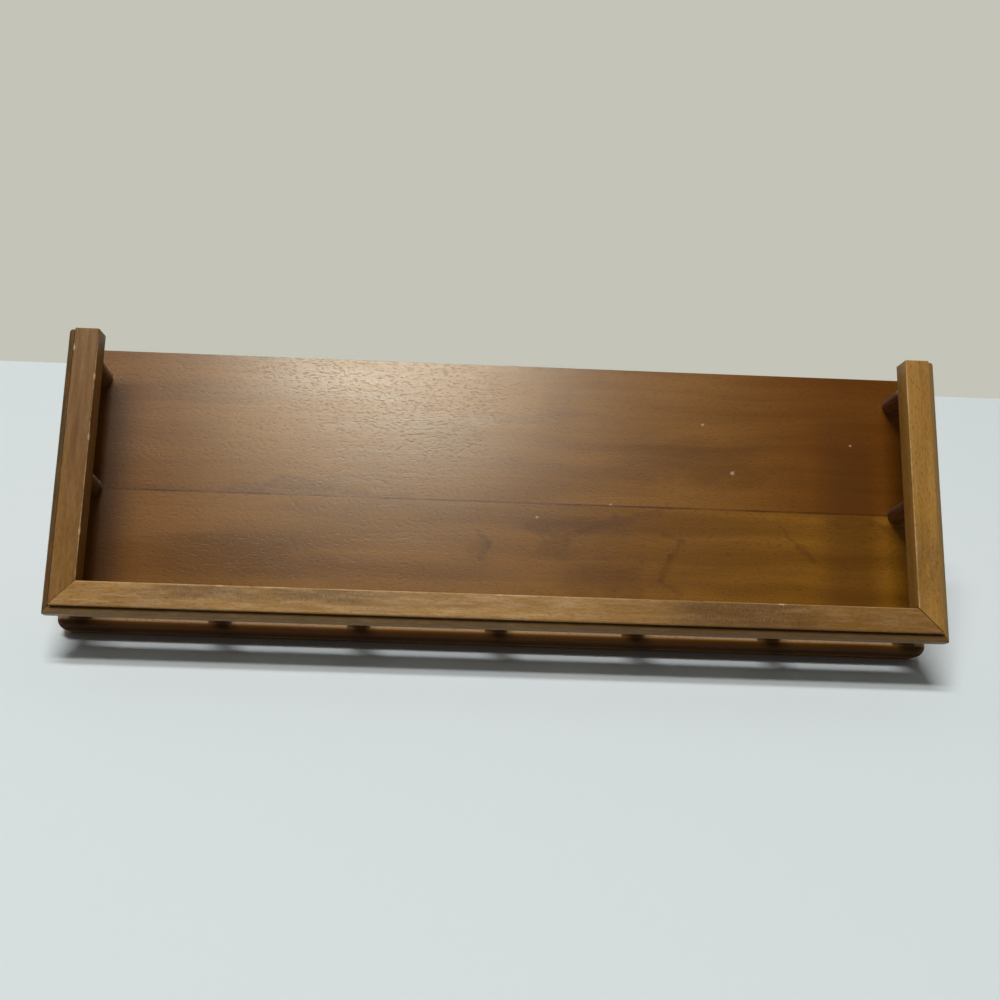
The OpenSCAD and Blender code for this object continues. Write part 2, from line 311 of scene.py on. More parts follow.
def put_on_rack(name, mesh, material, nodes):
    """Shades a mesh smoothly between its arrises, links it, hides the solids it stands for and puts it on
    the rack's body.
    """
    mesh.polygons.foreach_set("use_smooth", np.ones(len(mesh.polygons), bool))
    mesh.set_sharp_from_angle(angle=math.radians(35))
    mesh.materials.clear()
    mesh.materials.append(material)
    mesh.update()
    piece = bpy.data.objects.new(name, mesh)
    bpy.context.scene.collection.objects.link(piece)
    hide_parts(*nodes)
    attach(piece, BODY)
    return piece


# ---- Rails ----


def rail_places(sizes):
    """Where the rail's flat face starts and ends across it, and how far out the lip's top is."""
    face_start = sizes.lip_radius + sizes.quirk_width
    return face_start, face_start + sizes.face_width, sizes.lip_foot + sizes.lip_radius


def rail_outline(sizes):
    """The rail's cross-section: across from the lip's outer edge, and out from the rail's back.

    Up the lip's side, over its quarter round, down into the groove, up to the flat face, over
    the worn inner arris and down the sloping inner side. A small flat between the lip's arc and
    the groove's keeps their ends apart. Returns the points and, for each, how near it is to the
    middle of a worn arris, from 0 to 1.
    """
    steps = 8
    flat = 0.1 * MM
    width = RAIL_HIGH.x - RAIL_LOW.x
    face_start, face_end, lip_top = rail_places(sizes)
    groove_floor = lip_top - sizes.quirk_depth
    # Each corner: across, out, radius, wear
    corners = np.array([
        (0, 0, sizes.back_round, 0.3),
        (0, lip_top, sizes.lip_radius - sizes.quirk_round - flat, 0.25),
        (sizes.lip_radius, lip_top, sizes.quirk_round, 0.5),
        (sizes.lip_radius, groove_floor, sizes.quirk_round, 0),
        (face_start, groove_floor, sizes.quirk_round, 0),
        (face_start, RAIL_THICKNESS, sizes.outer_arris, 0.8),
        (face_end, RAIL_THICKNESS, sizes.inner_arris, 1.0),
        (width, 0, sizes.back_round, 0.3),
    ])
    outline = rounded_outline(corners[:, :2], corners[:, 2], steps)
    bump = np.pad(np.sin(np.linspace(0, math.pi, steps + 1)), 1)
    return outline, (corners[:, 3:] * bump).ravel()


def rail_surface(sizes, total, start_inset, stop_inset, seed):
    """The rail's cross-section carried along a straight length.

    Each point of the section runs from its own start to its own stop, so a mitre is a start
    that grows with the distance across. The last rows at each end shrink along the section's
    normals on a quarter circle, which softens the ends. The arrises are worn back by an uneven
    amount that changes along the rail. Returns the length, across and out coordinates of every
    point, and how worn it is.
    """
    outline, edge = rail_outline(sizes)
    normal = outward_normals(outline)
    row_spacing = 2 * MM
    rows = int(total / row_spacing)
    turn = np.linspace(0, math.pi / 2, 4)
    sideways = sizes.end_softening * (1 - np.sin(turn))
    lengthways = sizes.end_softening * (1 - np.cos(turn))
    whole = np.full(rows + 2, sizes.end_softening)
    shrink = np.concatenate([sideways, np.zeros(rows - 2), sideways[::-1]])[:, None]
    from_start = np.concatenate([lengthways, whole])[:, None]
    from_stop = np.concatenate([whole, lengthways[::-1]])[:, None]
    share = np.concatenate([np.zeros(3), np.linspace(0, 1, rows), np.ones(3)])[:, None]
    start = from_start + start_inset(outline[:, 0])
    stop = total - from_stop - stop_inset(outline[:, 0])
    along = start * (1 - share) + stop * share
    worn_back = edge * sizes.wear * (0.5 + 0.5 * ripple(along, seed))
    across = outline[:, 0] - normal[:, 0] * (shrink + worn_back)
    out = outline[:, 1] - normal[:, 1] * (shrink + worn_back)
    return along, across, out, np.broadcast_to(edge, along.shape)


def mitre(gap=0.0):
    """How far a mitred end is cut back at a given distance across: that distance, plus a gap."""
    return lambda across: across + gap


def square_end(corner):
    """A square end whose outer corner is rounded: a quarter circle within the corner's radius."""
    def cut_back(across):
        """How far the end is cut back at a given distance across."""
        inside = np.clip(corner - across, 0, corner)
        return corner - np.sqrt(corner ** 2 - inside ** 2)
    return cut_back


def make_rail(name, sizes, total, start_inset, stop_inset, origin, along_axis, across_axis, material):
    """Sweeps one rail and lays its length, across and out directions along the rack's axes."""
    seed = RAIL_LOOKS[name].seed
    along, across, out, edge = rail_surface(sizes, total, start_inset, stop_inset, seed)
    axes = np.array([along_axis, across_axis, (0, -1, 0)], float)
    grain = np.stack([along, across, out], -1)
    points = np.asarray(origin, float) + grain @ axes
    values = {"grain": grain, "edge": edge}
    new_piece(f"{name}_moulding", points, values, material, "rail_wood", name)


# ---- Spindles ----


def spindle_outline(sizes, rail_end, panel_end):
    """Half the spindle's outline, as radius and distance from the rail's back, tenon to tenon.

    The two corners on the axis close the outline and are left out of what is returned.
    """
    slot = PANEL_FACE - RAIL_BACK
    collar_end = sizes.collar_length
    neck_end = collar_end + sizes.neck_length
    cone_end = neck_end + sizes.shoulder_length
    collar_round = 0.49 * sizes.collar_length
    nick = 0.1 * MM
    # Each corner: radius, distance, rounding
    corners = np.array([
        (0, rail_end, 0),
        (sizes.tenon, rail_end, sizes.tenon_round),
        (sizes.tenon, 0, nick),
        (sizes.collar, 0, collar_round),
        (sizes.collar, collar_end, collar_round),
        (sizes.neck, collar_end, 0.2 * MM),
        (sizes.neck, neck_end, 0.5 * MM),
        (sizes.shoulder, cone_end, 3 * MM),
        (sizes.foot, slot, sizes.foot_round),
        (sizes.tenon, slot, nick),
        (sizes.tenon, panel_end, sizes.tenon_round),
        (0, panel_end, 0),
    ])
    outline = rounded_outline(corners[:, :2], corners[:, 2])
    on_axis = len(outline) // len(corners)
    return outline[on_axis:-on_axis]


def make_spindle(node, sizes, seed, material):
    """A turned piece: the half outline carried round the spindle's axis.

    A point is the centre plus the radius times the cosine across and the sine up. The radius
    shrinks by up to half a hundredth with twice the angle, because old turnings go oval.
    """
    low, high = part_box(node)
    centre = (low + high) / 2
    outline = spindle_outline(sizes, low.y - RAIL_BACK, high.y - RAIL_BACK)
    radius, depth = outline[:, :1], outline[:, 1:]
    sides = 56
    around = np.linspace(0, math.tau, sides, endpoint=False)[None]
    oval = 1 - 0.0025 * (1 + np.cos(2 * around + seed))
    x = radius * oval * np.cos(around)
    z = radius * oval * np.sin(around)
    y = np.broadcast_to(depth, x.shape)
    points = np.stack([centre.x + x, RAIL_BACK + y, centre.z + z], -1)
    grain = np.stack([y + seed * 0.37, x + seed * 0.11, z], -1)
    turning = np.stack([np.broadcast_to(radius, x.shape), y, np.zeros_like(x)], -1)
    values = {"grain": grain, "turning": turning}
    new_piece(f"{node}_turning", points, values, material, "spindle_wood", node)


# ---- Node sheets ----

ORIGIN = (0.0, 0.0, 0.0)


class NodeSheet:
    """Adds nodes to one node tree, from left to right, and links them as they come."""

    def __init__(self, tree):
        """Starts an empty sheet on a node tree."""
        self.tree = tree
        self.added = 0

    def add(self, kind, settings=(), **inputs):
        """Adds a node. An input given as a socket is linked, and any other value is set on it."""
        node = self.tree.nodes.new(kind)
        node.location = (190 * self.added, 0)
        self.added += 1
        for name, value in dict(settings).items():
            setattr(node, name, value)
        for name, value in inputs.items():
            self.feed(node.inputs[name.replace("_", " ")], value)
        return node

    def feed(self, socket, value):
        """Links a socket to another, or sets its value."""
        if isinstance(value, bpy.types.NodeSocket):
            self.tree.links.new(value, socket)
        elif hasattr(value, "__len__") and len(value) == 3 and socket.type == "RGBA":
            socket.default_value = (*value, 1.0)
        else:
            socket.default_value = value

    def step(self, kind, settings, values, output=0):
        """Adds a node, feeds its inputs by their place or name, and returns one of its outputs."""
        node = self.add(kind, settings)
        for place, value in values.items():
            self.feed(node.inputs[place], value)
        return node.outputs[output]

    def math(self, operation, first, second=0.0, clamp=False):
        """One arithmetic step on two numbers."""
        settings = {"operation": operation, "use_clamp": clamp}
        return self.step("ShaderNodeMath", settings, {0: first, 1: second})

    def product(self, first, *others):
        """Several numbers multiplied together."""
        for other in others:
            first = self.math("MULTIPLY", first, other)
        return first

    def vector(self, operation, first, second=ORIGIN):
        """One arithmetic step on two vectors."""
        output = "Value" if operation in ("LENGTH", "DOT_PRODUCT") else "Vector"
        return self.step("ShaderNodeVectorMath", {"operation": operation}, {0: first, 1: second}, output)

    def scale(self, vector, factor):
        """A vector times a number."""
        return self.step("ShaderNodeVectorMath", {"operation": "SCALE"}, {0: vector, "Scale": factor})

    def join(self, x=0.0, y=0.0, z=0.0):
        """The vector of three numbers."""
        return self.add("ShaderNodeCombineXYZ", X=x, Y=y, Z=z).outputs[0]

    def noise(self, vector, scale=1.0, detail=2.0, roughness=0.5, distortion=0.0):
        """Soft noise from 0 to 1."""
        node = self.add("ShaderNodeTexNoise", Vector=vector, Scale=scale, Detail=detail,
                        Roughness=roughness, Distortion=distortion)
        return node.outputs["Fac"]

    def smooth(self, value, low, high, to_low=0.0, to_high=1.0):
        """Goes smoothly from to_low to to_high while the value goes from low to high."""
        node = self.add("ShaderNodeMapRange", {"interpolation_type": "SMOOTHSTEP"}, Value=value,
                        From_Min=low, From_Max=high, To_Min=to_low, To_Max=to_high)
        return node.outputs["Result"]

    def band(self, value, low, high, soft):
        """1 between low and high, with both bounds in the middle of a fade of twice the softness."""
        rise = self.smooth(value, low - soft, low + soft)
        return self.product(rise, self.smooth(value, high + soft, high - soft))

    def mix(self, factor, first, second):
        """Mixes two colours."""
        return self.step("ShaderNodeMix", {"data_type": "RGBA"}, {0: factor, 6: first, 7: second}, 2)

    def blend(self, factor, first, second):
        """Mixes two numbers."""
        return self.step("ShaderNodeMix", {"data_type": "FLOAT"}, {0: factor, 2: first, 3: second})

    def choose(self, factor, first, second):
        """Mixes two shaders."""
        return self.step("ShaderNodeMixShader", {}, {0: factor, 1: first, 2: second})

    def axes(self, vector):
        """The three numbers of a vector."""
        return self.add("ShaderNodeSeparateXYZ", Vector=vector).outputs

    def group(self, name, **inputs):
        """Places a node group with its own values and returns its outputs."""
        return self.add("ShaderNodeGroup", {"node_tree": shared(name)}, **inputs).outputs

    def mask(self, name, **inputs):
        """Places a node group that gives a mask, and returns that."""
        return self.group(name, **inputs)["Mask"]


def start_group(name, **inputs):
    """A new node group whose inputs are vectors where their defaults are, and numbers elsewhere."""
    tree = bpy.data.node_groups.new(name, "ShaderNodeTree")
    for label, default in inputs.items():
        kind = "NodeSocketVector" if isinstance(default, tuple) else "NodeSocketFloat"
        socket = tree.interface.new_socket(label.replace("_", " "), in_out="INPUT", socket_type=kind)
        socket.default_value = default
    sheet = NodeSheet(tree)
    return sheet, sheet.add("NodeGroupInput").outputs


def end_group(sheet, **results):
    """Gives the group a number as output for each result."""
    for label in results:
        sheet.tree.interface.new_socket(label, in_out="OUTPUT", socket_type="NodeSocketFloat")
    sheet.add("NodeGroupOutput", **results)
    return sheet.tree


def board_grain_group():
    """Grain of a sawn board. The vector is along, across and through the board, in metres.

    Streaks are noise stretched along the board, and wander sideways with a broader noise.
    Figure is the same, twice as long and five times as broad. Pores are the peaks of a fine,
    short, stretched noise.
    """
    sheet, given = start_group("board_grain", Grain=ORIGIN, Streak_Length=0.16, Streak_Width=0.005,
                               Wander=0.004, Pore_Length=0.006, Pore_Width=0.0007)
    along, width = given["Streak Length"], given["Streak Width"]
    broad = sheet.vector("DIVIDE", given["Grain"], (0.09, 0.03, 0.03))
    swing = sheet.math("SUBTRACT", sheet.noise(broad, detail=1), 0.5)
    swing = sheet.math("MULTIPLY", swing, given["Wander"])
    sideways = sheet.join(y=sheet.math("MULTIPLY", swing, 3.0))
    bent = sheet.vector("ADD", given["Grain"], sideways)
    streak_at = sheet.vector("DIVIDE", bent, sheet.join(along, width, width))
    streaks = sheet.noise(streak_at, detail=4, roughness=0.6)
    figure_at = sheet.vector("MULTIPLY", streak_at, (0.5, 0.2, 0.2))
    figure = sheet.noise(figure_at, detail=2, roughness=0.45)
    pore_cell = sheet.join(given["Pore Length"], given["Pore Width"], given["Pore Width"])
    pores = sheet.noise(sheet.vector("DIVIDE", bent, pore_cell), detail=1, roughness=0.6)
    return end_group(sheet, Streaks=sheet.smooth(streaks, 0.3, 0.7),
                     Figure=sheet.smooth(figure, 0.32, 0.68), Pores=sheet.smooth(pores, 0.48, 0.75))


def mottled_grime_group():
    """Dirt that lies in patches, streaked along the grain and broken up by fine crosswise specks.

    Cover shifts the level above which the broad noise counts as dirty.
    """
    sheet, given = start_group("mottled_grime", Grain=ORIGIN, Patch_Length=0.05, Patch_Width=0.008,
                               Cover=0.5, Specks=0.5)
    cell = sheet.join(given["Patch Length"], given["Patch Width"], given["Patch Width"])
    broad = sheet.noise(sheet.vector("DIVIDE", given["Grain"], cell), detail=6, roughness=0.68)
    level = sheet.math("SUBTRACT", sheet.math("ADD", broad, given["Cover"]), 0.5)
    patch = sheet.smooth(level, 0.4, 0.7)
    fine_at = sheet.vector("DIVIDE", given["Grain"], (0.0009, 0.003, 0.003))
    fine = sheet.smooth(sheet.noise(fine_at, detail=2), 0.35, 0.65)
    broken = sheet.blend(given["Specks"], 1.0, fine)
    return end_group(sheet, Mask=sheet.math("MULTIPLY", patch, broken))


def rubbed_arris_group():
    """Wear on an arris: the edge attribute, broken up along the piece by noise."""
    sheet, given = start_group("rubbed_arris", Edge=0.0, Grain=ORIGIN, Wear=0.5)
    broad = sheet.noise(sheet.vector("DIVIDE", given["Grain"], (0.03, 0.01, 0.01)), detail=3)
    fine = sheet.noise(sheet.vector("DIVIDE", given["Grain"], (0.003, 0.001, 0.001)), detail=2)
    reach = sheet.math("ADD", sheet.math("MULTIPLY", given["Edge"], given["Wear"]),
                       sheet.math("MULTIPLY", sheet.math("ADD", broad, fine), 0.5))
    mask = sheet.smooth(reach, 0.75, 1.1)
    return end_group(sheet, Mask=sheet.math("MULTIPLY", mask, sheet.smooth(given["Edge"], 0.0, 0.3)))


def pale_chips_group():
    """Small pale specks: the middles of a few random cells."""
    sheet, given = start_group("pale_chips", Grain=ORIGIN, Spacing=0.03, Size=0.02, Share=0.2)
    at = sheet.vector("DIVIDE", given["Grain"], (1.0, 0.8, 0.8))
    per_metre = sheet.math("DIVIDE", 1.0, given["Spacing"])
    cells = sheet.add("ShaderNodeTexVoronoi", Vector=at, Scale=per_metre, Randomness=1.0)
    chosen = sheet.math("LESS_THAN", sheet.axes(cells.outputs["Color"])[0], given["Share"])
    ragged = sheet.math("MULTIPLY", sheet.noise(given["Grain"], scale=900.0), given["Size"])
    near = sheet.math("LESS_THAN", cells.outputs["Distance"], ragged)
    return end_group(sheet, Mask=sheet.math("MULTIPLY", chosen, near))


def soft_patch_group():
    """A soft-edged patch: 1 at its centre, and 0 past its reach, with a wandering outline."""
    sheet, given = start_group("soft_patch", Place=ORIGIN, Centre=ORIGIN, Reach=(0.05, 1.0, 0.01),
                               Ragged=0.4)
    offset = sheet.vector("SUBTRACT", given["Place"], given["Centre"])
    offset = sheet.vector("DIVIDE", offset, given["Reach"])
    grain_at = sheet.vector("MULTIPLY", offset, (3.0, 0.0, 2.2))
    rough = sheet.math("SUBTRACT", sheet.noise(grain_at, detail=4), 0.5)
    rough = sheet.math("MULTIPLY", rough, given["Ragged"])
    distance = sheet.math("ADD", sheet.vector("LENGTH", offset), sheet.math("MULTIPLY", rough, 2.0))
    return end_group(sheet, Mask=sheet.smooth(distance, 1.0, 0.25))


def stroke_group():
    """A thin stroke from one point to another, thinning to nothing at its edge, with a ragged course.

    The nearest point of the stroke is the start plus the clamped share of the way, and the
    distance to it is measured in the plane of the board, stirred by noise.
    """
    sheet, given = start_group("stroke", Place=ORIGIN, Start=ORIGIN, Stop=(0.01, 0.0, 0.0),
                               Width=0.001, Ragged=0.0035)
    flat = sheet.vector("MULTIPLY", given["Place"], (1.0, 0.0, 1.0))
    stirred = sheet.add("ShaderNodeTexNoise", Vector=flat, Scale=120.0, Detail=4.0).outputs["Color"]
    push = sheet.scale(sheet.vector("SUBTRACT", stirred, (0.5, 0.5, 0.5)),
                       sheet.math("MULTIPLY", given["Ragged"], 4.0))
    offset = sheet.vector("SUBTRACT", sheet.vector("ADD", flat, push), given["Start"])
    way = sheet.vector("SUBTRACT", given["Stop"], given["Start"])
    covered = sheet.vector("DOT_PRODUCT", offset, way)
    share = sheet.math("DIVIDE", covered, sheet.vector("DOT_PRODUCT", way, way), clamp=True)
    aside = sheet.vector("SUBTRACT", offset, sheet.scale(way, share))
    aside = sheet.vector("MULTIPLY", aside, (1.0, 0.0, 1.0))
    distance = sheet.math("DIVIDE", sheet.vector("LENGTH", aside), given["Width"])
    return end_group(sheet, Mask=sheet.smooth(distance, 1.0, 0.1))


GROUP_MAKERS = {
    "board_grain": board_grain_group,
    "mottled_grime": mottled_grime_group,
    "rubbed_arris": rubbed_arris_group,
    "pale_chips": pale_chips_group,
    "soft_patch": soft_patch_group,
    "stroke": stroke_group,
}


def shared(name):
    """The node group of that name, made the first time it is asked for."""
    return bpy.data.node_groups.get(name) or GROUP_MAKERS[name]()


def start_material(name):
    """A new material with an empty sheet."""
    material = bpy.data.materials.new(name)
    material.use_nodes = True
    material.node_tree.nodes.clear()
    return material, NodeSheet(material.node_tree)


def end_material(sheet, height, depth, specular=0.5, **inputs):
    """Gives the sheet its Principled shader, with a bump of that depth in metres."""
    bump = sheet.add("ShaderNodeBump", Height=height, Distance=depth, Strength=1.0)
    shader = sheet.add("ShaderNodeBsdfPrincipled", Normal=bump.outputs[0], **inputs)
    shader.inputs["Specular IOR Level"].default_value = specular
    sheet.add("ShaderNodeOutputMaterial", Surface=shader.outputs[0])


# ---- Finishes ----


def attribute(sheet, name):
    """Reads one of the piece's own attributes."""
    return sheet.add("ShaderNodeAttribute", {"attribute_type": "GEOMETRY", "attribute_name": name}).outputs


def stain(sheet, mask, strength, base, colour):
    """Mixes a colour into the base where the mask is, with that strength."""
    return sheet.mix(sheet.product(mask, strength), base, colour)


# Marks on the panel's face, in millimetres across and up from the rack's middle.
# Darker patches in each plank: centre, reach, strength
UPPER_PATCHES = [
    ((-165, 3), (75, 11), 0.4),
    ((-50, 55), (50, 14), 0.18),
    ((45, 75), (22, 30), 0.2),
    ((155, 36), (100, 28), 0.4),
]
LOWER_PATCHES = [
    ((65, -18), (75, 10), 0.5),
    ((45, -36), (22, 14), 0.35),
    ((85, -58), (55, 24), 0.4),
    ((-14, -42), (14, 14), 0.2),
    ((-30, -55), (50, 12), 0.2),
    ((-200, -50), (90, 30), 0.3),
]
# Lines of figure in each plank: start, stop, width, strength
UPPER_STROKES = [
    ((-190, 0), (-169, 12.5), 3.4, 0.32),
    ((-169, 12.5), (-145, 9), 4.4, 0.35),
    ((-145, 9), (-120, 2.5), 3.4, 0.25),
    ((-120, 2.5), (-70, 1), 3.7, 0.28),
    ((-300, -1.5), (-190, 1), 3.7, 0.25),
]
LOWER_STROKES = [
    ((-15, -26), (-7.5, -34), 3.7, 0.35),
    ((-7.5, -34), (-12.5, -45.5), 4.4, 0.35),
    ((22, -20.5), (52.5, -27.5), 5.1, 0.32),
    ((52.5, -27.5), (91.5, -11.5), 4.4, 0.25),
    ((91.5, -11.5), (127, -6), 4.4, 0.28),
    ((128.5, -21), (143, -28.5), 3.4, 0.25),
    ((143, -28.5), (134, -40.5), 4.1, 0.32),
    ((134, -40.5), (126.5, -58.5), 4.1, 0.35),
    ((126.5, -58.5), (142.5, -70), 3.4, 0.25),
    ((220, -12), (234, -27.5), 3.1, 0.28),
    ((234, -27.5), (246, -39.5), 4.1, 0.35),
    ((259.5, -8), (293, -5.5), 5.1, 0.28),
    ((293, -5.5), (309.5, -14.5), 4.8, 0.28),
]
# Pale flecks in the face: across, up, size
FLECKS = [
    (161, 68, 1.6),
    (184, 29, 2.4),
    (279, 55, 1.4),
    (87.5, 0, 1.8),
    (30, -12, 1.4),
    (128, -87, 1.2),
]


def on_face(across, up, depth=0.0):
    """A place or a reach on the panel's face, given in millimetres across and up."""
    return (across * MM, depth, up * MM)


def rail_bands(sheet, colours, base, x, z):
    """Redder wood towards the left, a painted shadow of the left rail on the panel beside it, partly
    grime, and a darker band a little inside the right rail, both up to near the top.
    """
    base = stain(sheet, sheet.smooth(x, -200 * MM, -290 * MM), 0.3, base, colours.amber)
    # Painted shadow of the left rail on the panel, partly grime: darkest beside the rail, fading out near
    # the top spindle.
    left = sheet.product(sheet.smooth(x, -268 * MM, -306 * MM), sheet.smooth(z, 95 * MM, 78 * MM))
    base = stain(sheet, left, 0.88, base, colours.shade)
    # A darker band a little inside the right rail, fading out towards the top.
    right = sheet.product(sheet.smooth(x, 242 * MM, 270 * MM), sheet.smooth(x, 306 * MM, 286 * MM),
                          sheet.smooth(z, 100 * MM, 30 * MM))
    return stain(sheet, right, 0.5, base, colours.shade)


def drawn_marks(sheet, colours, base, place, patches, strokes):
    """The plank's own darker patches and lines of figure, and the panel's pale flecks."""
    for centre, reach, strength in patches:
        patch = sheet.mask("soft_patch", Place=place, Centre=on_face(*centre),
                           Reach=on_face(*reach, depth=1.0), Ragged=0.6)
        base = stain(sheet, patch, strength, base, colours.shade)
    for start, stop, width, strength in strokes:
        stroke = sheet.mask("stroke", Place=place, Start=on_face(*start),
                            Stop=on_face(*stop), Width=width * MM, Ragged=2.8 * MM)
        base = stain(sheet, stroke, strength, base, colours.shade)
    for across, up, size in FLECKS:
        fleck = sheet.mask("soft_patch", Place=place, Centre=on_face(across, up),
                           Reach=on_face(size, 0.8 * size, depth=1.0), Ragged=1.0)
        base = stain(sheet, fleck, 0.5, base, colours.fleck)
    return base


def feet_and_edge(sheet, colours, base, x, z):
    """A paler strip of painted bounce light along the bottom, painted shade on the rounded edge below it,
    and painted shadows of the bottom spindles below their feet.

    The feet are one pitch apart. A distance that swings back and forth over half a pitch is
    the distance to the middle of the nearest one.
    """
    up = sheet.math("SUBTRACT", z, PANEL_LOW.z)
    # Painted bounce light from the cloth: a paler strip just above the rounded lower edge.
    strip = sheet.product(sheet.smooth(up, 7 * MM, 9 * MM), sheet.smooth(up, 14 * MM, 11 * MM))
    base = stain(sheet, strip, 0.3, base, colours.fleck)
    # Painted shade on the panel's rounded lower edge.
    base = stain(sheet, sheet.smooth(up, 8.5 * MM, 6 * MM), 0.85, base, colours.edge)
    # Painted shadows of the bottom spindles on the panel, just below each foot.
    aside = sheet.math("PINGPONG", sheet.math("SUBTRACT", x, FIRST_FOOT.x), FOOT_PITCH / 2)
    below = sheet.math("SUBTRACT", FIRST_FOOT.z, z)
    dirt_and_shadow = sheet.product(sheet.smooth(aside, 9.6 * MM, 7.8 * MM), sheet.smooth(below, 0.0, 2 * MM),
                         sheet.smooth(below, 15 * MM, 12 * MM))
    return stain(sheet, dirt_and_shadow, 0.85, base, colours.edge)


def glue_line(sheet, place, z):
    """The joint between the planks: a thin line that is more and less open along the panel."""
    aside = sheet.math("ABSOLUTE", sheet.math("SUBTRACT", z, SEAM_Z))
    along_only = sheet.vector("MULTIPLY", place, (14.0, 0.0, 0.0))
    openness = sheet.smooth(sheet.noise(along_only), 0.35, 0.6, 0.35, 0.95)
    return sheet.product(sheet.smooth(aside, 1.1 * MM, 0.3 * MM), openness)


def panel_finish(name, colours, shift, tint, patches, strokes):
    """Satin stained plank. tint is its colour towards the right, patches and strokes its own marks.

    The marks are on the front alone. Only the face is polished, and the edges and the back
    are rough.
    """
    material, sheet = start_material(name)
    place = sheet.add("ShaderNodeTexCoord").outputs["Object"]
    x, y, z = sheet.axes(place)
    board = sheet.vector("ADD", sheet.join(x, z, y), shift)
    grain = sheet.group("board_grain", Grain=board, Streak_Length=0.1, Streak_Width=0.0042,
                        Wander=0.004, Pore_Length=0.003, Pore_Width=0.0011)
    tone = sheet.blend(0.68, grain["Streaks"], grain["Figure"])
    plain = sheet.mix(sheet.smooth(x, 130 * MM, 280 * MM), colours.brown, tint)
    plain = stain(sheet, sheet.smooth(tone, 1.0, 0.0), 0.42, plain, colours.shade)
    marked = rail_bands(sheet, colours, plain, x, z)
    marked = drawn_marks(sheet, colours, marked, place, patches, strokes)
    marked = feet_and_edge(sheet, colours, marked, x, z)
    base = sheet.mix(sheet.smooth(y, PANEL_FACE + 9 * MM, PANEL_FACE + 6 * MM), plain, marked)
    base = sheet.mix(glue_line(sheet, place, z), base, colours.shade)
    base = stain(sheet, grain["Pores"], 0.4, base, colours.shade)
    chips = sheet.mask("pale_chips", Grain=board, Spacing=0.06, Size=0.02, Share=0.3)
    base = stain(sheet, chips, 0.75, base, colours.fleck)
    rough = sheet.blend(grain["Pores"], sheet.smooth(grain["Figure"], 0.0, 1.0, 0.3, 0.34), 0.38)
    polished = sheet.smooth(y, PANEL_FACE + 3 * MM, PANEL_FACE + 1 * MM)
    rough = sheet.blend(polished, 0.75, rough)
    height = sheet.math("SUBTRACT", sheet.product(grain["Streaks"], 0.4), grain["Pores"])
    end_material(sheet, height, 0.04 * MM, specular=0.15, Base_Color=base, Roughness=rough)
    return material


class RailLook(NamedTuple):
    """How one length of rail has aged, with places in millimetres along, across and out.

    shift moves its noise, so that no two lengths are alike, and seed does so for its uneven
    wear. cover is how much of it is dirty, tones its lightest and darkest mix of dark wood, and
    rubbed how strongly its face is rubbed bare. patches are its dirtier stretches: start, stop,
    lowest and highest share of the face's width, strength. chips are pale nicks. fade is where
    it goes darker: start, stop, strength. shine is its specular level.
    """

    shift: tuple
    seed: int
    cover: float
    tones: tuple
    rubbed: float = 0.12
    patches: tuple = ()
    chips: tuple = ()
    fade: tuple = (0, 1, 0)
    shine: float = 0.12


RAIL_LOOKS = {
    "rail_left": RailLook(
        shift=(0.3, 0.9, 0.2), seed=11, cover=0.42, tones=(0.6, 1.0),
        chips=((60, 23.6, 16.5), (131, 23.6, 16.5), (178, 23.6, 16.5), (200, 6.3, 16.5))),
    "rail_right": RailLook(
        shift=(2.3, 1.9, 0.7), seed=12, cover=0.36, tones=(0.0, 0.3),
        patches=((30, 85, 0, 1, 0.42),)),
    "rail_bottom": RailLook(
        shift=(4.6, 0.1, 1.4), seed=13, cover=0.4, tones=(0.0, 0.5), rubbed=0.46,
        patches=((70, 240, 0.4, 1, 0.6), (460, 560, 0, 1, 0.85)),
        chips=((127, 23.6, 16.5), (329, 23.6, 16.5), (535, 23.6, 16.5)),
        fade=(340, 480, 0.5), shine=0.22),
}


def rail_dirt(sheet, sizes, look, shifted, along, across):
    """How dirty the rail is: thin grime all over it, and heavier grime in its dirtier stretches."""
    grime = sheet.mask("mottled_grime", Grain=shifted, Patch_Length=0.035,
                       Patch_Width=0.006, Cover=look.cover, Specks=0.5)
    dirt_and_shadow = sheet.product(grime, 0.55)
    face_start = rail_places(sizes)[0]
    for start, stop, lowest, highest, strength in look.patches:
        stretch = sheet.band(along, start * MM, stop * MM, 20 * MM)
        low, high = (face_start + share * sizes.face_width for share in (lowest, highest))
        strip = sheet.band(across, low, high, 3 * MM)
        heavy = sheet.mask("mottled_grime", Grain=shifted, Patch_Length=0.026,
                           Patch_Width=0.0045, Cover=0.63, Specks=0.5)
        dirt_and_shadow = sheet.math("MAXIMUM", dirt_and_shadow, sheet.product(stretch, strip, heavy, strength))
    return dirt_and_shadow


def lip_and_groove(sheet, sizes, base, lip, shifted, across, out):
    """The lip's colour over the lip: dust on the bottom rail, painted shade on the left rail and painted
    light on the right. Half of it goes into the groove beside it too, as painted light that lifts the
    groove's shade.
    """
    lip_top = rail_places(sizes)[2]
    on_lip = sheet.smooth(across, sizes.lip_radius + 0.4 * MM, sizes.lip_radius - 0.3 * MM)
    patchiness = sheet.noise(sheet.vector("DIVIDE", shifted, (0.012, 0.004, 0.004)), detail=4)
    base = stain(sheet, on_lip, sheet.smooth(patchiness, 0.3, 0.7, 0.55, 0.95), base, lip)
    # Painted light in the groove: half the lip's colour lifts its shade.
    middle = sizes.lip_radius + sizes.quirk_width / 2
    aside = sheet.math("ABSOLUTE", sheet.math("SUBTRACT", across, middle))
    groove = sheet.product(sheet.smooth(aside, 1.0 * MM, 0.5 * MM),
                           sheet.smooth(out, lip_top + 0.9 * MM, lip_top - 0.6 * MM))
    return stain(sheet, groove, 0.5, base, lip)


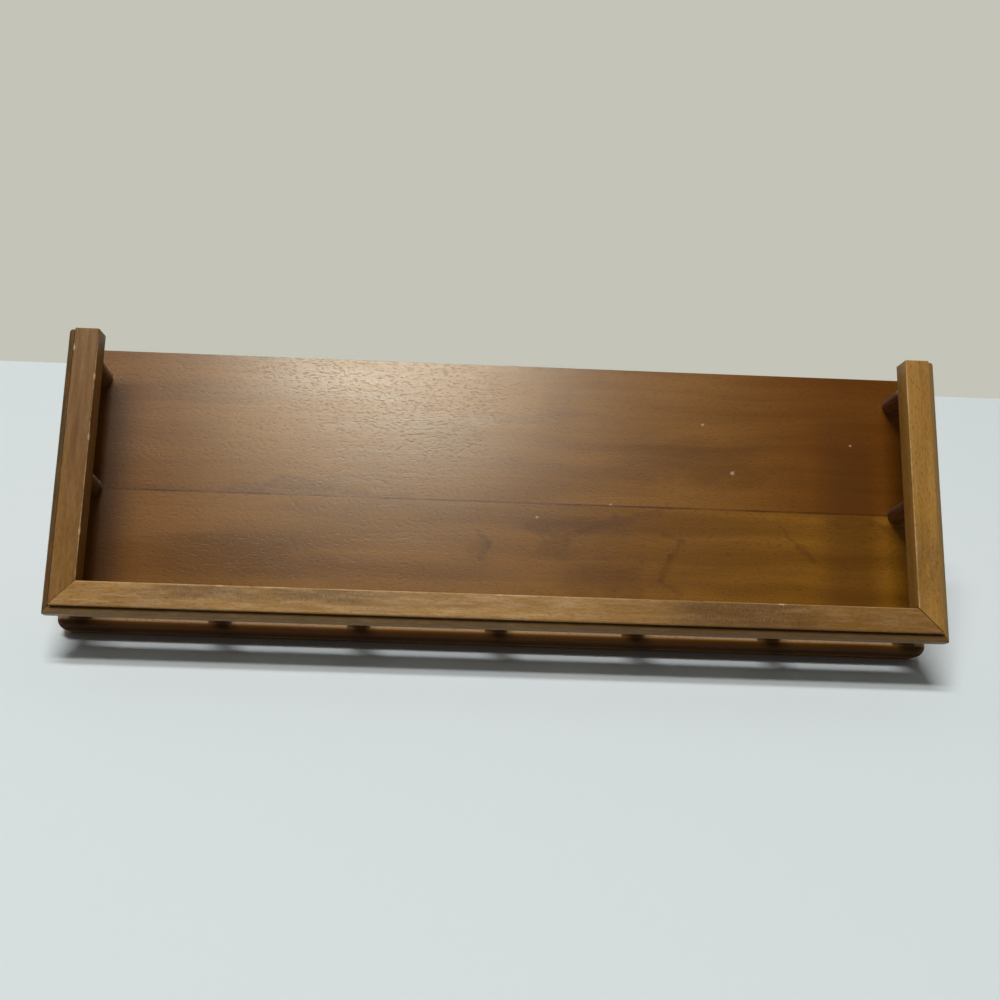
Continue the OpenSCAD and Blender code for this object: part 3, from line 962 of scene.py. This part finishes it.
def wear_marks(sheet, sizes, look, base, board, shifted):
    """Arrises rubbed to bare wood, the darker length of the rail, and its pale nicks."""
    edge = attribute(sheet, "edge")["Fac"]
    worn = sheet.mask("rubbed_arris", Edge=edge, Grain=shifted, Wear=0.5)
    base = stain(sheet, worn, 0.7, base, sizes.bare)
    start, stop, strength = look.fade
    faded = sheet.smooth(sheet.axes(board)[0], start * MM, stop * MM)
    base = stain(sheet, faded, strength, base, sizes.dark)
    for nick in look.chips:
        chip = sheet.mask("soft_patch", Place=board, Centre=[step * MM for step in nick],
                          Reach=(3.5 * MM, 1.2 * MM, 3 * MM), Ragged=0.8)
        base = sheet.mix(chip, base, sizes.bare)
    return base


def rail_finish(name, sizes, look, lip):
    """Rubbed, grimy moulding, aged as its look says and with a lip of the given colour."""
    material, sheet = start_material(name)
    board = attribute(sheet, "grain")["Vector"]
    along, across, out = sheet.axes(board)
    shifted = sheet.vector("ADD", board, look.shift)
    grain = sheet.group("board_grain", Grain=shifted, Streak_Length=0.07,
                        Streak_Width=0.0022, Wander=0.0012, Pore_Length=0.004, Pore_Width=0.0009)
    tone = sheet.blend(0.55, grain["Streaks"], grain["Figure"])
    base = sheet.mix(sheet.smooth(tone, 1.0, 0.0, *look.tones), sizes.light, sizes.dark)
    elsewhere = sheet.vector("ADD", shifted, (5.0, 5.0, 5.0))
    rubbed = sheet.mask("mottled_grime", Grain=elsewhere, Patch_Length=0.03,
                        Patch_Width=0.004, Cover=0.5, Specks=0.25)
    base = stain(sheet, rubbed, look.rubbed, base, sizes.bare)
    dirt_and_shadow = rail_dirt(sheet, sizes, look, shifted, along, across)
    base = sheet.mix(dirt_and_shadow, base, sizes.grime)
    base = stain(sheet, grain["Pores"], 0.5, base, sizes.dark)
    base = lip_and_groove(sheet, sizes, base, lip, shifted, across, out)
    base = wear_marks(sheet, sizes, look, base, board, shifted)
    face_end = rail_places(sizes)[1]
    # Painted shade on the rail's sloping inner side.
    shaded_inner_side = sheet.smooth(across, face_end + 0.1 * MM, face_end + 0.8 * MM)
    base = stain(sheet, shaded_inner_side, 0.35, base, sizes.dark)
    rough = sheet.blend(dirt_and_shadow, sheet.smooth(tone, 0.0, 1.0, 0.42, 0.5), 0.7)
    height = sheet.math("SUBTRACT", sheet.product(grain["Streaks"], 0.4), grain["Pores"])
    end_material(sheet, height, 0.03 * MM, specular=look.shine, Base_Color=base, Roughness=rough)
    return material


def spindle_finish(sizes):
    """Dark glossy stain over turned wood, with fine lathe rings and streaks along the axis."""
    material, sheet = start_material("turned_dark_wood")
    board = attribute(sheet, "grain")["Vector"]
    radius, depth = sheet.axes(attribute(sheet, "turning")["Vector"])[:2]
    grain = sheet.group("board_grain", Grain=board, Streak_Length=0.03, Streak_Width=0.0016,
                        Wander=0.0008, Pore_Length=0.004, Pore_Width=0.0006)
    base = sheet.mix(grain["Streaks"], sizes.dark, sizes.light)
    base = stain(sheet, grain["Pores"], 0.4, base, sizes.dark)
    # Painted shade in the hollow of the neck.
    neck_shade = sheet.smooth(radius, sizes.neck + 1 * MM, sizes.neck)
    base = stain(sheet, neck_shade, 0.7, base, sizes.dark)
    rings_per_metre = 1800.0
    rings = sheet.noise(sheet.join(sheet.product(depth, rings_per_metre)), detail=2)
    height = sheet.math("SUBTRACT", sheet.product(rings, 0.6), sheet.product(grain["Pores"], 0.5))
    rough = sheet.smooth(rings, 0.3, 0.7, 0.24, 0.36)
    end_material(sheet, height, 0.04 * MM, Base_Color=base, Roughness=rough, Coat_Weight=0.15,
                 Coat_Roughness=0.2)
    return material


def zinc_finish(name, colour, tarnish, scratch_scale):
    """Dull plated steel: a fine brushed grain, clouds of tarnish and small scratches."""
    material, sheet = start_material(name)
    place = sheet.add("ShaderNodeTexCoord").outputs["Object"]
    clouds = sheet.noise(place, scale=160.0, detail=4, roughness=0.6)
    brushed = sheet.noise(sheet.vector("MULTIPLY", place, (1.0, 1.0, 0.05)), scale=scratch_scale, detail=2)
    mask = sheet.smooth(clouds, 0.42, 0.68)
    base = stain(sheet, mask, 0.4, colour, tarnish)
    base = sheet.mix(sheet.smooth(brushed, 0.5, 0.75, 0.0, 0.35), base, tarnish)
    rough = sheet.blend(mask, sheet.smooth(brushed, 0.3, 0.7, 0.46, 0.56), 0.66)
    end_material(sheet, brushed, 0.02 * MM, Base_Color=base, Metallic=1.0, Roughness=rough)
    return material


def stage_finish(name, tint, glows):
    """Plain matt surface that is seen only from its front.

    If it glows, the camera sees its plain colour, whatever light falls on it.
    """
    material, sheet = start_material(name)
    behind = sheet.add("ShaderNodeNewGeometry").outputs["Backfacing"]
    surface = sheet.add("ShaderNodeBsdfDiffuse", Color=tint).outputs[0]
    if glows:
        rays = sheet.add("ShaderNodeLightPath").outputs
        seen = sheet.math("MAXIMUM", rays["Is Camera Ray"], rays["Is Glossy Ray"])
        glow = sheet.add("ShaderNodeEmission", Color=tint, Strength=1.0).outputs[0]
        surface = sheet.choose(seen, surface, glow)
    clear = sheet.add("ShaderNodeBsdfTransparent").outputs[0]
    sheet.add("ShaderNodeOutputMaterial", Surface=sheet.choose(behind, surface, clear))
    return material


# ---- Operators ----


class RACK_OT_panel(Operator):
    """Make the two planks of the back panel, with softened edges and stained grain"""

    bl_idname = "rack.make_panel"
    bl_label = "Back Panel"

    def execute(self, context):
        settings = context.scene.rack_panel
        planks = {
            "panel_plank_upper": panel_finish("stained_plank_upper", settings, (3.1, 1.7, 0.4),
                                              settings.amber, UPPER_PATCHES, UPPER_STROKES),
            "panel_plank_lower": panel_finish("stained_plank_lower", settings, (7.9, 4.2, 2.6),
                                              settings.tan, LOWER_PATCHES, LOWER_STROKES),
        }
        for node, material in planks.items():
            self.soften(node, material, settings.arris)
        return {"FINISHED"}

    @staticmethod
    def soften(node, material, arris):
        """A merged copy of the plank, whose arrises a Bevel modifier rounds."""
        mesh = frame["nodes"][node].data.copy()
        merge_points(mesh)
        plank = put_on_rack(f"{node}_board", mesh, material, [node])
        bevel = plank.modifiers.new("soft arrises", "BEVEL")
        bevel.width = arris
        bevel.segments = 3
        bevel.limit_method = "ANGLE"
        bevel.angle_limit = math.radians(40)
        flat = plank.modifiers.new("flat faces", "WEIGHTED_NORMAL")
        flat.keep_sharp = True


def merge_points(mesh):
    """Joins the loose triangles of a solid's mesh at their shared corners."""
    whole = bmesh.new()
    whole.from_mesh(mesh)
    bmesh.ops.remove_doubles(whole, verts=whole.verts, dist=0.002 * MM)
    bmesh.ops.dissolve_limit(whole, angle_limit=math.radians(0.2), verts=whole.verts, edges=whole.edges)
    whole.to_mesh(mesh)
    whole.free()


class RACK_OT_rails(Operator):
    """Make the three mitred lengths of moulded guard rail"""

    bl_idname = "rack.make_rails"
    bl_label = "Guard Rail"

    def execute(self, context):
        sizes = context.scene.rack_rail
        left, bottom, top, right = RAIL_LOW.x, RAIL_LOW.z, RAIL_HIGH.z, -RAIL_LOW.x
        side, whole = top - bottom, right - left
        closed, opened = mitre(), mitre(sizes.mitre_gap)
        end = square_end(sizes.end_corner)
        # Each rail: lip, length, both ends, where it starts, the way along and the way across
        rails = {
            # The side rails' lips take a painted shaded copy on the left and a painted lit copy on the
            # right.
            "rail_left": (sizes.shaded_lip, side, closed, end, left, (0, 0, 1), (1, 0, 0)),
            "rail_right": (sizes.lit_lip, side, opened, end, right, (0, 0, 1), (-1, 0, 0)),
            "rail_bottom": (sizes.lip, whole, closed, opened, left, (1, 0, 0), (0, 0, 1)),
        }
        for node, (lip, total, start, stop, x, *ways) in rails.items():
            wood = rail_finish(f"{node}_wood", sizes, RAIL_LOOKS[node], lip)
            make_rail(node, sizes, total, start, stop, (x, RAIL_BACK, bottom), *ways, wood)
        return {"FINISHED"}


class RACK_OT_spindles(Operator):
    """Turn the eleven spindles that carry the rail"""

    bl_idname = "rack.make_spindles"
    bl_label = "Spindles"

    def execute(self, context):
        sizes = context.scene.rack_spindle
        wood = spindle_finish(sizes)
        nodes = sorted(name for name in frame["nodes"] if name.startswith("spindle_"))
        for seed, node in enumerate(nodes):
            make_spindle(node, sizes, seed, wood)
        return {"FINISHED"}


class RACK_OT_hangers(Operator):
    """Give the hanger plates and their screws a dull zinc finish"""

    bl_idname = "rack.finish_hangers"
    bl_label = "Hanger Plates"

    def execute(self, context):
        colours = context.scene.rack_hanger
        finishes = {
            "hanger_plate": zinc_finish("hanger_zinc", colours.plate, colours.tarnish, 3000.0),
            "hanger_screws": zinc_finish("screw_zinc", colours.screw, colours.tarnish, 5000.0),
        }
        for kind, material in finishes.items():
            for side in ("left", "right"):
                for slot in frame["nodes"][f"{kind}_{side}"].material_slots:
                    slot.material = material
        return {"FINISHED"}


STAGE_SHEETS = ("table_cloth", "back_wall")


class RACK_OT_stage(Operator):
    """Set up the table, the wall, the lamps and the camera"""

    bl_idname = "rack.set_stage"
    bl_label = "Stage"

    def execute(self, context):
        stage = context.scene.rack_stage
        lower_edge = Matrix.Translation((0, 0, PANEL_LOW.z))
        room = lower_edge @ Matrix.Rotation(stage.table_tilt, 4, "X")
        wide, near, tall = 2.4, -1.3, 1.6
        back = stage.wall_distance
        floor = [(-wide, near, 0), (wide, near, 0), (wide, back, 0), (-wide, back, 0)]
        wall = [(-wide, back, 0), (wide, back, 0), (wide, back, tall), (-wide, back, tall)]
        cloth, backdrop = STAGE_SHEETS
        self.sheet(cloth, room, floor, stage_finish(cloth, stage.cloth, glows=False))
        self.sheet(backdrop, room, wall, stage_finish(backdrop, stage.wall, glows=True))
        for name, nearness in (("ceiling_row_1", -0.64), ("ceiling_row_2", -1.44)):
            self.lamp(name, room @ Vector((-0.66, nearness, 5.0)), (2.3, 0.4), stage.ceiling_power)
        sheen = self.lamp("sheen_lamp", room @ Vector((-0.13, -0.6, 1.55)), (0.35, 0.2), stage.sheen_power,
                          aim=Vector((-0.09, 0.0, 0.12)))
        sheen.data.spread = stage.sheen_spread
        sheen.data.color = (1.0, 0.94, 0.76)
        sheen.visible_diffuse = False
        rear = self.lamp("rear_lamp", Vector((0.0, 1.3, 0.15)), (1.2, 0.6), stage.rear_power)
        self.light_only_rack(rear)
        self.sky(context.scene, stage.sky)
        context.scene.view_settings.view_transform = "Standard"
        self.camera(context.scene, stage)
        return {"FINISHED"}

    @staticmethod
    def sheet(name, room, corners, material):
        """A flat rectangle of the room that is part of the stage."""
        mesh = bpy.data.meshes.new(name)
        mesh.from_pydata([room @ Vector(corner) for corner in corners], [], [(0, 1, 2, 3)])
        mesh.materials.append(material)
        surface = bpy.data.objects.new(name, mesh)
        bpy.context.scene.collection.objects.link(surface)

    @staticmethod
    def lamp(name, place, size, power, aim=Vector((0.0, 0.0, 0.0))):
        """An oblong lamp that points at the rack, or at a place on it."""
        data = bpy.data.lights.new(name, "AREA")
        data.shape = "RECTANGLE"
        data.size, data.size_y = size
        data.energy = power
        lamp = bpy.data.objects.new(name, data)
        bpy.context.scene.collection.objects.link(lamp)
        lamp.location = place
        lamp.rotation_euler = (aim - lamp.location).to_track_quat("-Z", "Y").to_euler()
        lamp.visible_camera = False
        return lamp

    @staticmethod
    def light_only_rack(lamp):
        """Lets a lamp shine through the table and the wall, on the rack alone."""
        pieces = bpy.data.collections.new("rack_pieces")
        for piece in bpy.context.scene.objects:
            if piece.type == "MESH" and piece.name not in STAGE_SHEETS:
                pieces.objects.link(piece)
        lamp.light_linking.receiver_collection = pieces
        lamp.light_linking.blocker_collection = pieces

    @staticmethod
    def sky(scene, strength):
        """Faint even light. The camera sees a pale grey, so the views from behind are pale too."""
        world = bpy.data.worlds.new("pale_room")
        scene.world = world
        world.use_nodes = True
        world.node_tree.nodes.clear()
        sheet = NodeSheet(world.node_tree)
        ray = sheet.add("ShaderNodeLightPath").outputs["Is Camera Ray"]
        even = sheet.add("ShaderNodeBackground", Color=(1.0, 1.0, 1.0), Strength=strength)
        seen = sheet.add("ShaderNodeBackground", Color=(0.74, 0.76, 0.75), Strength=1.0)
        sheet.add("ShaderNodeOutputWorld", Surface=sheet.choose(ray, even.outputs[0], seen.outputs[0]))

    @staticmethod
    def camera(scene, stage):
        """The camera of the photograph's view."""
        data = bpy.data.cameras.new("camera")
        data.sensor_width = 36.0
        data.lens = stage.lens
        data.shift_x, data.shift_y = stage.shift_x, stage.shift_y
        camera = bpy.data.objects.new("camera", data)
        scene.collection.objects.link(camera)
        camera.location = stage.eye
        camera.rotation_euler = stage.turn
        scene.camera = camera


class RACK_PT_sidebar(Panel):
    """Lists the rack's pieces and their sizes"""

    bl_idname = "RACK_PT_sidebar"
    bl_label = "Plate Rack"
    bl_space_type = "VIEW_3D"
    bl_region_type = "UI"
    bl_category = "Plate Rack"

    def draw(self, context):
        for operator, name in STEPS:
            box = self.layout.box()
            box.operator(operator.bl_idname)
            settings = getattr(context.scene, name)
            for key in settings.__annotations__:
                box.prop(settings, key)


STEPS = (
    (RACK_OT_panel, "rack_panel"),
    (RACK_OT_rails, "rack_rail"),
    (RACK_OT_spindles, "rack_spindle"),
    (RACK_OT_hangers, "rack_hanger"),
    (RACK_OT_stage, "rack_stage"),
)
PROPERTY_GROUPS = {
    "rack_stage": RackStageProps,
    "rack_panel": RackPanelProps,
    "rack_rail": RackRailProps,
    "rack_spindle": RackSpindleProps,
    "rack_hanger": RackHangerProps,
}
CLASSES = (*PROPERTY_GROUPS.values(), *(operator for operator, name in STEPS), RACK_PT_sidebar)


def register():
    """Registers the classes and puts their settings on the scene."""
    for cls in CLASSES:
        bpy.utils.register_class(cls)
    for name, group in PROPERTY_GROUPS.items():
        setattr(bpy.types.Scene, name, PointerProperty(type=group))


def unregister():
    """Takes both away again."""
    for name in PROPERTY_GROUPS:
        delattr(bpy.types.Scene, name)
    for cls in reversed(CLASSES):
        bpy.utils.unregister_class(cls)


def main():
    """Makes every piece and the stage, in order."""
    register()
    bpy.ops.rack.make_panel()
    bpy.ops.rack.make_rails()
    bpy.ops.rack.make_spindles()
    bpy.ops.rack.finish_hangers()
    bpy.ops.rack.set_stage()


if __name__ == "__main__":
    main()
